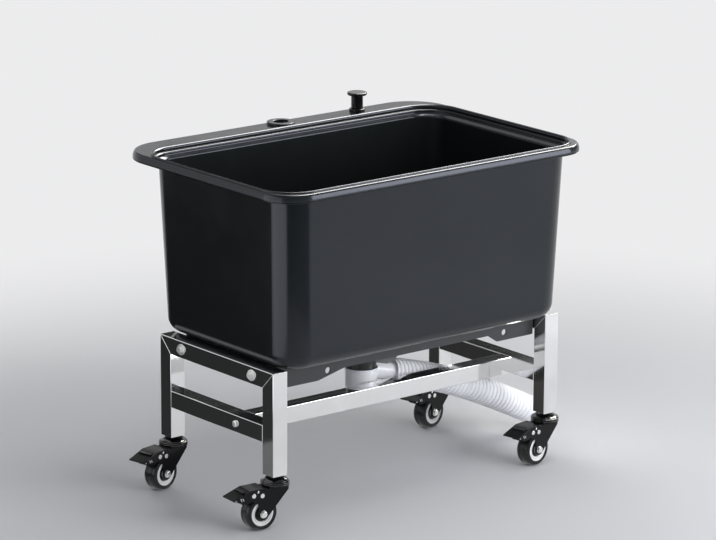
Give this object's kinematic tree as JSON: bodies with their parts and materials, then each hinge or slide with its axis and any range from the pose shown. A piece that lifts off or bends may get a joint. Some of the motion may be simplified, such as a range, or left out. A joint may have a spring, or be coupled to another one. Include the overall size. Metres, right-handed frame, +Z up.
{
  "type": "utility laundry sink",
  "caption": "Deep moulded laundry tub with rear deck, tap hole and drain knob, on a square steel tube frame with braked swivel casters, trap cup and ribbed waste hose.",
  "frame": {"origin": "floor level under the middle of the sink's bounding box, measured without the waste hose", "axes": "+X to the right along the long side, -Y to the front where a user stands, +Z up"},
  "size_m": [1.0491, 0.602, 0.78],
  "materials": {
    "tub_plastic": "charcoal moulded plastic, satin gloss",
    "skirt_plastic": "charcoal plastic, satin",
    "polished_steel": "mirror polished stainless tube",
    "bright_steel": "polished stainless",
    "zinc_steel": "zinc plated steel",
    "caster_paint": "black painted pressed steel",
    "pedal_plastic": "black moulded nylon",
    "hub_plastic": "off-white moulded nylon",
    "tyre_rubber": "black rubber tread",
    "black_plastic": "black moulded plastic",
    "white_plastic": "white polypropylene",
    "hose_plastic": "white corrugated plastic hose",
    "gasket_rubber": "black rubber",
    "knob_plastic": "gloss black plastic"
  },
  "bodies": {
    "sink": {"tub": "tub_plastic", "skirt": "skirt_plastic", "left_front_leg": "polished_steel", "left_rear_leg": "polished_steel", "left_top_rail": "polished_steel", "left_lower_rail": "polished_steel", "right_front_leg": "polished_steel", "right_rear_leg": "polished_steel", "right_top_rail": "polished_steel", "right_lower_rail": "polished_steel", "long_rail": "polished_steel", "long_rail_plugs": "zinc_steel", "long_rail_bolts": "bright_steel", "skirt_bolts": "bright_steel", "skirt_washers": "bright_steel", "skirt_nuts": "zinc_steel", "leg_inserts": "black_plastic", "caster_kingpins": "zinc_steel", "front_left_caster_raceway": "caster_paint", "front_right_caster_raceway": "caster_paint", "rear_left_caster_raceway": "caster_paint", "rear_right_caster_raceway": "caster_paint", "strainer_flange": "bright_steel", "strainer_basket": "bright_steel", "drain_gasket": "gasket_rubber", "drain_locknut": "black_plastic", "strainer_body": "black_plastic", "cable_inlet": "black_plastic", "trap_cup": "white_plastic", "drain_hose": "hose_plastic", "hose_cuff": "hose_plastic", "knob_sleeve": "knob_plastic", "knob_gasket": "gasket_rubber", "knob_locknut": "black_plastic"},
    "front_left_fork": {"front_left_caster_fork": "caster_paint", "front_left_caster_axle": "zinc_steel", "front_left_caster_rivets": "zinc_steel"},
    "front_left_wheel": {"front_left_wheel_hub": "hub_plastic", "front_left_wheel_tyre": "tyre_rubber"},
    "front_left_pedal": {"front_left_brake_pedal": "pedal_plastic"},
    "front_right_fork": {"front_right_caster_fork": "caster_paint", "front_right_caster_axle": "zinc_steel", "front_right_caster_rivets": "zinc_steel"},
    "front_right_wheel": {"front_right_wheel_hub": "hub_plastic", "front_right_wheel_tyre": "tyre_rubber"},
    "front_right_pedal": {"front_right_brake_pedal": "pedal_plastic"},
    "rear_left_fork": {"rear_left_caster_fork": "caster_paint", "rear_left_caster_axle": "zinc_steel", "rear_left_caster_rivets": "zinc_steel"},
    "rear_left_wheel": {"rear_left_wheel_hub": "hub_plastic", "rear_left_wheel_tyre": "tyre_rubber"},
    "rear_left_pedal": {"rear_left_brake_pedal": "pedal_plastic"},
    "rear_right_fork": {"rear_right_caster_fork": "caster_paint", "rear_right_caster_axle": "zinc_steel", "rear_right_caster_rivets": "zinc_steel"},
    "rear_right_wheel": {"rear_right_wheel_hub": "hub_plastic", "rear_right_wheel_tyre": "tyre_rubber"},
    "rear_right_pedal": {"rear_right_brake_pedal": "pedal_plastic"},
    "lift_knob": {"lift_knob": "knob_plastic"},
    "drain_plug": {"drain_plug": "bright_steel"}
  },
  "joints": [
    {"name": "front_left_swivel", "type": "hinge", "parent": "sink", "child": "front_left_fork", "pos_m": [-0.3429, -0.207, 0.096], "axis": [0, 0, 1], "continuous": true},
    {"name": "front_left_roll", "type": "hinge", "parent": "front_left_fork", "child": "front_left_wheel", "pos_m": [-0.38374, -0.20343, 0.0375], "axis": [0.0872, 0.9962, 0], "continuous": true},
    {"name": "front_left_brake", "type": "hinge", "parent": "front_left_fork", "child": "front_left_pedal", "pos_m": [-0.40964, -0.20116, 0.083], "axis": [-0.0872, -0.9962, 0], "range_deg": [0, 11]},
    {"name": "front_right_swivel", "type": "hinge", "parent": "sink", "child": "front_right_fork", "pos_m": [0.4151, -0.207, 0.096], "axis": [0, 0, 1], "continuous": true},
    {"name": "front_right_roll", "type": "hinge", "parent": "front_right_fork", "child": "front_right_wheel", "pos_m": [0.37461, -0.21341, 0.0375], "axis": [-0.1564, 0.9877, 0], "continuous": true},
    {"name": "front_right_brake", "type": "hinge", "parent": "front_right_fork", "child": "front_right_pedal", "pos_m": [0.34892, -0.21748, 0.083], "axis": [0.1564, -0.9877, 0], "range_deg": [0, 11]},
    {"name": "rear_left_swivel", "type": "hinge", "parent": "sink", "child": "rear_left_fork", "pos_m": [-0.3429, 0.157, 0.096], "axis": [0, 0, 1], "continuous": true},
    {"name": "rear_left_roll", "type": "hinge", "parent": "rear_left_fork", "child": "rear_left_wheel", "pos_m": [-0.38315, 0.14918, 0.0375], "axis": [-0.1908, 0.9816, 0], "continuous": true},
    {"name": "rear_left_brake", "type": "hinge", "parent": "rear_left_fork", "child": "rear_left_pedal", "pos_m": [-0.40867, 0.14422, 0.083], "axis": [0.1908, -0.9816, 0], "range_deg": [0, 11]},
    {"name": "rear_right_swivel", "type": "hinge", "parent": "sink", "child": "rear_right_fork", "pos_m": [0.4151, 0.157, 0.096], "axis": [0, 0, 1], "continuous": true},
    {"name": "rear_right_roll", "type": "hinge", "parent": "rear_right_fork", "child": "rear_right_wheel", "pos_m": [0.37485, 0.14918, 0.0375], "axis": [-0.1908, 0.9816, 0], "continuous": true},
    {"name": "rear_right_brake", "type": "hinge", "parent": "rear_right_fork", "child": "rear_right_pedal", "pos_m": [0.34933, 0.14422, 0.083], "axis": [0.1908, -0.9816, 0], "range_deg": [0, 11]},
    {"name": "knob_lift", "type": "slide", "parent": "sink", "child": "lift_knob", "axis": [0, 0, 1], "range_m": [0, 0.018]},
    {"name": "plug_lift", "type": "slide", "parent": "sink", "child": "drain_plug", "axis": [0, 0, 1], "range_m": [0, 0.009]}
  ],
  "couplings": [
    {"joint": "plug_lift", "follows": "knob_lift", "ratio": 0.5}
  ]
}
